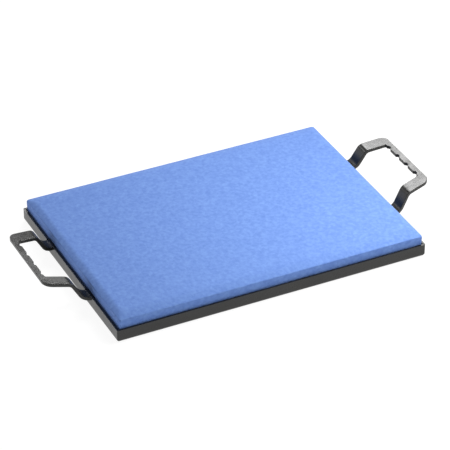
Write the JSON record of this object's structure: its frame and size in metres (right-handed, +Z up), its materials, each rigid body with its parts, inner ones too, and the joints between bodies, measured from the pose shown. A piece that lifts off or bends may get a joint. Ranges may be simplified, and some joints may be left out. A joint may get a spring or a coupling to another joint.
{
  "type": "kneeling board",
  "caption": "Kneeling board: shallow folded steel tray with a lift-out foam pad and a bent, scalloped grab handle at each end.",
  "frame": {"origin": "middle of the tray's underside, on the ground", "axes": "+X along the tray's length towards one handle, +Y across the tray, +Z up out of the pad"},
  "size_m": [0.538, 0.3, 0.0467],
  "materials": {
    "black_coat": "satin",
    "blue_foam": "matte",
    "plywood": "matte",
    "zinc_steel": "satin",
    "hook_tape": "matte",
    "loop_tape": "matte"
  },
  "bodies": {
    "tray_body": {"tray": "black_coat", "base_board": "plywood", "handle_left": "black_coat", "handle_right": "black_coat", "foot_studs": "zinc_steel", "foot_washers": "zinc_steel", "foot_nuts": "zinc_steel", "hook_strips": "hook_tape"},
    "pad_body": {"foam_pad": "blue_foam", "loop_strips": "loop_tape"}
  },
  "joints": [
    {"name": "pad_lift", "type": "slide", "parent": "tray_body", "child": "pad_body", "axis": [0, 0, 1], "range_m": [0, 0.06]}
  ]
}
